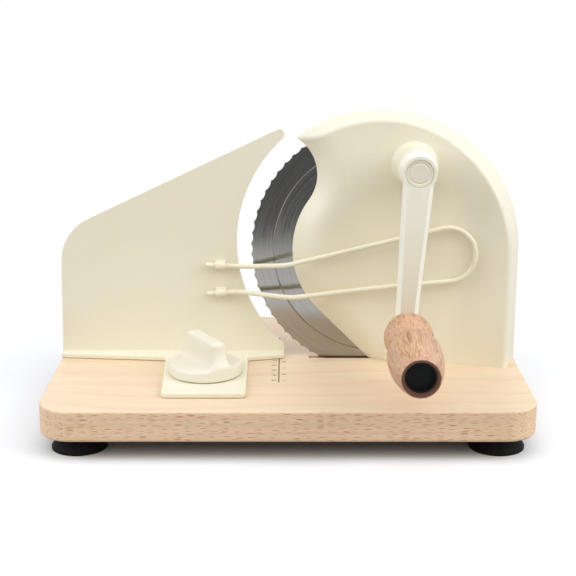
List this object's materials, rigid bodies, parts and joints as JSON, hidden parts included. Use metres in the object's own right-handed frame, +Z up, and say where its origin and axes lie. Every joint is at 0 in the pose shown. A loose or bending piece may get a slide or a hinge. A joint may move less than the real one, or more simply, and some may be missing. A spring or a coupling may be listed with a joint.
{
  "type": "hand cranked bread slicer",
  "caption": "Tabletop bread slicer: a wooden board on rubber feet, a cream housing with a geared round blade and side crank, and a sliding stop plate with clamp knob and wire guide.",
  "frame": {"origin": "on the table, under the middle of the outer box, handle included", "axes": "+X to the right along the board, +Y to the back, +Z up; the crank and its handle stand out to -Y"},
  "size_m": [0.306, 0.2392, 0.1993],
  "materials": {
    "beech": "oiled",
    "handle_wood": "waxed",
    "cream_casting": "fine textured powder coat",
    "cream_plastic": "moulded satin",
    "blade_steel": "circular ground",
    "steel": "zinc plated",
    "nylon": "natural nylon",
    "brass": "turned",
    "foot_rubber": "soft matt",
    "black_plastic": "matt"
  },
  "bodies": {
    "stand": {"base_board": "beech", "foot_front_left": "foot_rubber", "foot_front_right": "foot_rubber", "foot_rear_left": "foot_rubber", "foot_rear_right": "foot_rubber", "foot_screws": "steel", "housing": "cream_casting", "housing_screws": "steel", "housing_washers": "steel", "crank_bush": "brass", "blade_axle": "steel", "blade_bolt": "steel"},
    "crank": {"crank_shaft": "steel", "drive_pinion": "nylon", "shaft_clip": "steel", "crank_washer": "nylon", "crank_arm": "cream_casting", "crank_screw": "steel", "crank_cap": "cream_plastic", "handle_pin": "steel", "handle_washer": "nylon"},
    "grip": {"handle_grip": "handle_wood", "handle_cap": "black_plastic"},
    "cutter": {"blade_gear": "nylon", "blade": "blade_steel"},
    "stop": {"stop_plate": "cream_casting", "deflector_wire": "cream_casting", "clamp_bolt": "steel", "clamp_slide": "steel"},
    "knob": {"clamp_knob": "cream_plastic", "knob_insert": "brass"}
  },
  "joints": [
    {"name": "crank_turn", "type": "hinge", "parent": "stand", "child": "crank", "pos_m": [0.08128, -0.02035, 0.16598], "axis": [0, -1, 0], "continuous": true},
    {"name": "handle_spin", "type": "hinge", "parent": "crank", "child": "grip", "pos_m": [0.07502, -0.07035, 0.06648], "axis": [0, -1, 0], "continuous": true},
    {"name": "blade_spin", "type": "hinge", "parent": "stand", "child": "cutter", "pos_m": [0.0605, 0.02365, 0.1073], "axis": [0, -1, 0], "continuous": true},
    {"name": "plate_slide", "type": "slide", "parent": "stand", "child": "stop", "axis": [0, -1, 0], "range_m": [0, 0.018]},
    {"name": "knob_turn", "type": "hinge", "parent": "stop", "child": "knob", "pos_m": [-0.053, -0.01835, 0.042], "axis": [0, 0, 1], "range_deg": [0, 120]}
  ],
  "couplings": [
    {"joint": "blade_spin", "follows": "crank_turn", "ratio": -0.53704}
  ]
}
